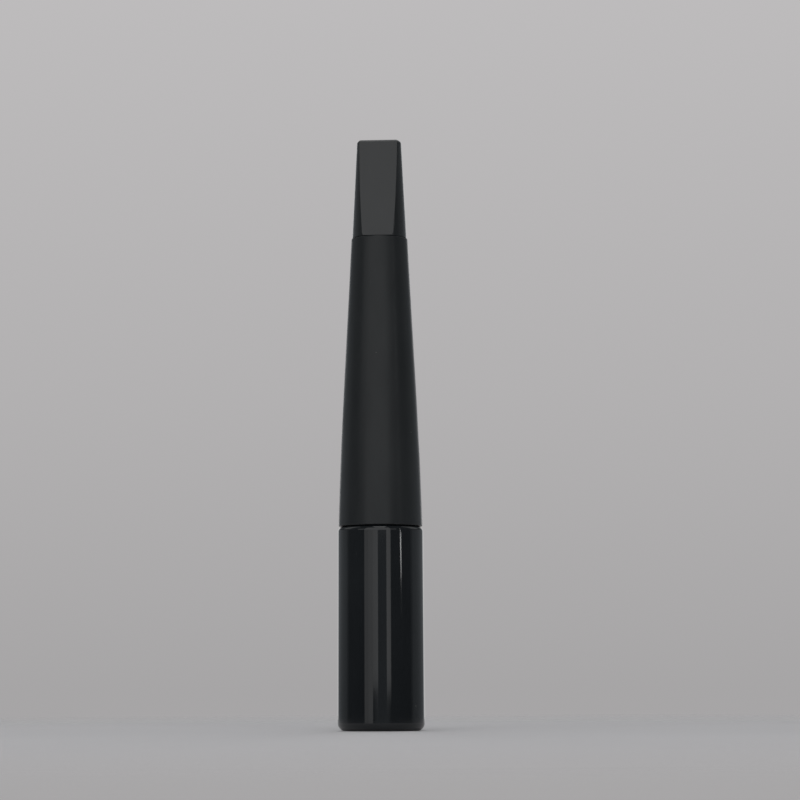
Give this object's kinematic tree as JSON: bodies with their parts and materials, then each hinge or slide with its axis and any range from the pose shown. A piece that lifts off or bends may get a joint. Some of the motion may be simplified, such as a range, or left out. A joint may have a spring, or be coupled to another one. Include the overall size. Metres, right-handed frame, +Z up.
{
  "type": "eyeliner",
  "caption": "Liquid eyeliner: a round gloss bottle with a wiper and a mixing ball, and a long tapered screw cap with a chisel-shaped end that carries a fine brush.",
  "frame": {"origin": "centre of the bottle's underside, on the axis, at the height of the foot ring", "axes": "+Z up along the axis from the bottle to the cap's chisel end; the end plug's front flat faces -Y, turned 4.5 degrees about the axis as in the picture; +X is to the right in the picture"},
  "size_m": [0.0168, 0.0168, 0.115],
  "materials": {
    "bottle_gloss_black": "high gloss black",
    "label_film": "matt film, bare",
    "vial_natural_plastic": "natural, slightly milky",
    "wiper_soft_plastic": "natural soft plastic",
    "ball_steel": "polished steel",
    "gasket_foam": "closed-cell foam",
    "stem_black_plastic": "smooth black",
    "ferrule_black_plastic": "smooth black",
    "brush_hair_black": "black nylon hair",
    "inner_cap_plastic": "moulded black",
    "cap_satin_black": "satin black",
    "plug_satin_black": "satin black"
  },
  "bodies": {
    "bottle": {"outer_bottle": "bottle_gloss_black", "base_label": "label_film", "inner_vial": "vial_natural_plastic", "neck_wiper": "wiper_soft_plastic"},
    "ball": {"agitator_ball": "ball_steel"},
    "gasket": {"cap_gasket": "gasket_foam"},
    "applicator": {"applicator_stem": "stem_black_plastic", "brush_ferrule": "ferrule_black_plastic", "brush_tuft": "brush_hair_black"},
    "cap": {"inner_cap": "inner_cap_plastic", "outer_cap_sleeve": "cap_satin_black", "end_plug": "plug_satin_black"}
  },
  "joints": [
    {"name": "cap_pull", "type": "slide", "parent": "bottle", "child": "gasket", "axis": [0, 0, 1], "range_m": [0, 0.045]},
    {"name": "cap_rise", "type": "slide", "parent": "gasket", "child": "applicator", "axis": [0, 0, 1], "range_m": [0, 0.0038]},
    {"name": "cap_turn", "type": "hinge", "parent": "applicator", "child": "cap", "pos_m": [0, 0, 0.04], "axis": [0, 0, 1], "range_deg": [0, 540]},
    {"name": "ball_travel", "type": "slide", "parent": "bottle", "child": "ball", "axis": [0, 0, 1], "range_m": [0, 0.031]}
  ],
  "couplings": [
    {"joint": "cap_rise", "follows": "cap_turn", "m_per_rad": 0.00039789}
  ]
}
